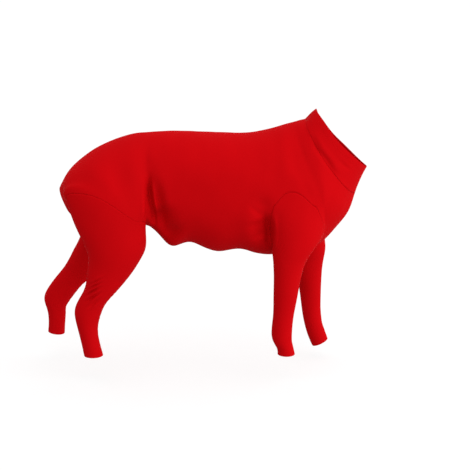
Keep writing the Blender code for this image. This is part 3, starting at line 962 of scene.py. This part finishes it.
def torso_piece(grid, points, directions, cells, thickness, material):
    """The body panel as a closed shell, with its inner face at half the outer's fineness."""
    knit_step = np.array(TORSO_KNIT) / (np.array(grid.shape) - 1)
    used = np.unique(grid[grid >= 0])
    number = np.full(len(points), -1)
    number[used] = np.arange(len(used))
    faces = []
    places = []
    inner_number = {}
    inner_spots = []

    def add_face(corners, keys):
        faces.append([int(corner) for corner in corners])
        places.extend(np.array(keys) * knit_step)

    def square(i, j, size):
        return [(i, j), (i + size, j), (i + size, j + size), (i, j + size)]

    def inner(key):
        vertex = grid[key]
        if vertex not in inner_number:
            inner_number[vertex] = len(used) + len(inner_spots)
            inner_spots.append(points[vertex] - directions[vertex] * thickness[vertex])
        return inner_number[vertex]

    for i, j in np.argwhere(cells):
        keys = square(i, j, 1)
        add_face([number[grid[key]] for key in keys], keys)
    edges = {}
    for i, j in np.argwhere(cells[::2, ::2]) * 2:
        keys = square(i, j, 2)
        add_face([inner(key) for key in reversed(keys)], keys[::-1])
        for here, following in zip(keys, keys[1:] + keys[:1]):
            edges[grid[here], grid[following]] = (here, following)
    cloth_faces = len(faces)
    for (start, end), (here, following) in edges.items():
        if (end, start) not in edges:
            middle = ((here[0] + following[0]) // 2, (here[1] + following[1]) // 2)
            outer = (following, middle, here)
            corners = [number[grid[key]] for key in outer] + [inner(here), inner(following)]
            add_face(corners, outer + (here, following))
    all_points = np.concatenate((points[used], np.array(inner_spots)))
    rims = len(faces) - cloth_faces
    return cloth_mesh("torso_cloth", all_points, faces, places, material, rims)


def near(points, spots):
    """The distance from each point to the nearest of the spots, and that spot's number."""
    tree = KDTree(len(spots))
    for number, spot in enumerate(spots):
        tree.insert(spot, number)
    tree.balance()
    distances = np.empty(len(points))
    numbers = np.empty(len(points), int)
    for index, point in enumerate(points):
        _, numbers[index], distances[index] = tree.find(point)
    return distances, numbers


def build_tube(name, grid, points, directions, material, thread_red):
    """The cloth and hem stitches of a leg, sleeve or collar, with its seam and its flat size."""
    coarse = tube_rows(grid, points)
    at = fine_rows(coarse)
    rows = resampled(coarse, at)
    at_seam = directions[grid[:-1, 0]]
    out = ring_directions(rows)
    sign = -1 if (out[0] * at_seam).sum() < 0 else 1
    out = out * sign
    out[0] = at_seam
    seam = (rows[0], at_seam, unit(rows[1] - rows[0]))
    hem_way = distance_along(rows, True)
    height = rippled(name, rows, at / STEPS)
    height += hem_height(hem_way) + seam_height(distance_along(rows, False), 1)
    rows = rows + out * height[:, :, None]
    out = ring_directions(rows) * sign
    out[0] = at_seam
    thickness = np.where(hem_way < HEM_DEPTH, HEM_CLOTH, CLOTH)
    cloth = tube_piece(name + "_cloth", rows, out, thickness, sign, material, seam[2])
    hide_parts(name)
    hem = sewn_rows(hem_rings(rows, out, hem_way))
    stitches = stitch_piece(name + "_hem_stitches", hem, thread_red)
    girths = np.linalg.norm(np.roll(rows, -1, axis=1) - rows, axis=2).sum(axis=1)
    return cloth, stitches, seam, (girths, hem_way[0].mean())


def torso_form(grid, points, directions, seams):
    """The body panel's points, with drawn-in seams and a raised seat hem, and its thickness."""
    used = np.unique(grid[grid >= 0])
    distances, numbers = near(points[used], np.concatenate([ring for ring, _, _ in seams]))
    seat_distances, _ = near(points[used], points[grid[:-1, 0]])
    height = seam_height(distances, 0) + hem_height(seat_distances)
    points = points.copy()
    points[used] += directions[used] * height[:, None]
    inward = np.concatenate([inward for _, _, inward in seams])
    on_seam = distances < SAME_PLACE
    points[used[on_seam]] -= inward[numbers[on_seam]] * (SEAM_GAP / 2)
    thickness = np.full(len(points), CLOTH)
    thickness[used[seat_distances < HEM_DEPTH]] = HEM_CLOTH
    return points, thickness


def build_suit():
    """All pieces by name, and the girths and length of each tube."""
    points, faces, face_panels, corner_places = suit_cage()
    cage = fitted_cage(points, faces)
    points, quads, panels, places = smooth_surface(cage, faces, face_panels, corner_places)
    directions = outward_directions(points, quads)
    torso_faces = panels == PANELS.index("torso")
    in_torso = np.zeros(len(points))
    in_torso[quads[torso_faces]] = 1
    points = creased(points, directions, in_torso)
    points = points + directions * (gentle_waves(points) * WAVE_HEIGHT)[:, None]
    directions = outward_directions(points, quads)
    grids = {}
    for number, name in enumerate(PANELS):
        grids[name] = panel_grid(quads[panels == number], places[panels == number])

    body_red = jersey("jersey_torso", 1.0)
    collar = (jersey("jersey_collar", 1.0), "collar_jersey")
    # Sleeves and legs are shaded copies of the jersey: their red is darker as painted shade.
    sleeve = (jersey("jersey_sleeve", LEG_PAINTED_SHADE), "sleeve_jersey")
    leg = (jersey("jersey_leg", LEG_PAINTED_SHADE), "leg_jersey")
    thread_red = thread()
    tubes = {
        "right_leg": leg,
        "left_leg": leg,
        "right_sleeve": sleeve,
        "left_sleeve": sleeve,
        "neck_collar": collar,
    }
    seams = {}
    pieces = {}
    flat_sizes = {}
    for name, (material, slot) in tubes.items():
        cloth, stitches, seams[name], flat_sizes[name] = build_tube(
            name, grids[name], points, directions, material, thread_red
        )
        pieces[name] = cloth
        pieces[name + "_stitches"] = stitches

    grid = grids["torso"]
    points, thickness = torso_form(grid, points, directions, seams.values())
    cells = np.zeros(grid.shape, bool)
    columns, stations = np.rint(places[torso_faces].mean(axis=1) * STEPS - 0.5).astype(int).T
    cells[columns, stations] = True
    pieces["torso"] = torso_piece(grid, points, directions, cells, thickness, body_red)
    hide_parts("torso")

    for name, seam in seams.items():
        sewn = zigzag_rows(*seam)
        slot = tubes[name][1]
        pieces[name + "_seam"] = stitch_piece(name + "_seam_stitches", sewn, thread_red)
    seat_grid = grid[:, :SEAT_HEM_SECTIONS * STEPS]
    rows = tube_rows(seat_grid, points)[::-1]
    out = tube_rows(seat_grid, directions)[::-1]
    sewn = sewn_rows(hem_rings(rows, out, distance_along(rows, True)))
    pieces["seat_stitches"] = stitch_piece("seat_hem_stitches", sewn, thread_red)
    return pieces, flat_sizes


def paper_bowl():
    """A wide round sheet of paper that is flat in the middle and curves up to a wall."""
    flat = FLOOR_RADIUS * FLOOR_FLAT_SHARE
    wall = FLOOR_RADIUS - flat
    profile = [(0.0, FLOOR_HEIGHT), (flat, FLOOR_HEIGHT)]
    for number in range(1, BOWL_RINGS + 1):
        turn = math.pi / 2 * number / BOWL_RINGS
        profile.append((flat + wall * math.sin(turn), FLOOR_HEIGHT + wall * (1 - math.cos(turn))))
    spots = [(0.0, 0.0, FLOOR_HEIGHT)]
    faces = []
    for ring, (radius, height) in enumerate(profile[1:]):
        for number in range(BOWL_SIDES):
            turn = 2 * math.pi * number / BOWL_SIDES
            spots.append((radius * math.cos(turn), radius * math.sin(turn), height))
            here = ring * BOWL_SIDES + number + 1
            following = ring * BOWL_SIDES + (number + 1) % BOWL_SIDES + 1
            if ring == 0:
                faces.append((0, here, following))
            else:
                faces.append((here - BOWL_SIDES, here, following, following - BOWL_SIDES))
    paper = bpy.data.meshes.new("floor")
    paper.from_pydata(spots, [], faces)
    paper.shade_smooth()
    paper.materials.append(painted("floor_white", PAPER_SURFACE)[0])
    floor = placed("floor", paper)
    floor.visible_diffuse = False
    floor.visible_glossy = False


def soft_sky():
    """White light from all round, stronger from the front and from above."""
    world = bpy.data.worlds.new("studio")
    world.use_nodes = True
    nodes, links = world.node_tree.nodes, world.node_tree.links
    way = nodes.new("ShaderNodeTexCoord")
    growth = nodes.new("ShaderNodeVectorMath")
    growth.operation = "DOT_PRODUCT"
    growth.inputs[1].default_value = SKY_GROWTH
    links.new(way.outputs["Generated"], growth.inputs[0])
    strength = math_node(nodes, links, "ADD", growth.outputs["Value"], SKY_MEAN)
    links.new(strength, nodes["Background"].inputs["Strength"])
    nodes["Background"].inputs["Color"].default_value = (1, 1, 1, 1)
    bpy.context.scene.world = world


def studio():
    """The paper, the sky, a soft key light and the camera."""
    paper_bowl()
    soft_sky()
    scene = bpy.context.scene
    lamp = bpy.data.lights.new("key", "AREA")
    lamp.energy = KEY_POWER
    lamp.size = KEY_SIZE
    key = placed("key", lamp)
    key.location = KEY_PLACE
    key.rotation_euler = (Vector(KEY_AIM) - Vector(KEY_PLACE)).to_track_quat("-Z", "Y").to_euler()

    lens = bpy.data.cameras.new("camera")
    lens.lens = CAMERA_LENS
    lens.sensor_width = SENSOR
    camera = placed("camera", lens)
    camera.location = CAMERA_PLACE
    camera.rotation_euler = (math.radians(90 - CAMERA_PITCH), 0, 0)
    scene.camera = camera
    scene.view_settings.view_transform = "Standard"


studio()
suit, flats = build_suit()
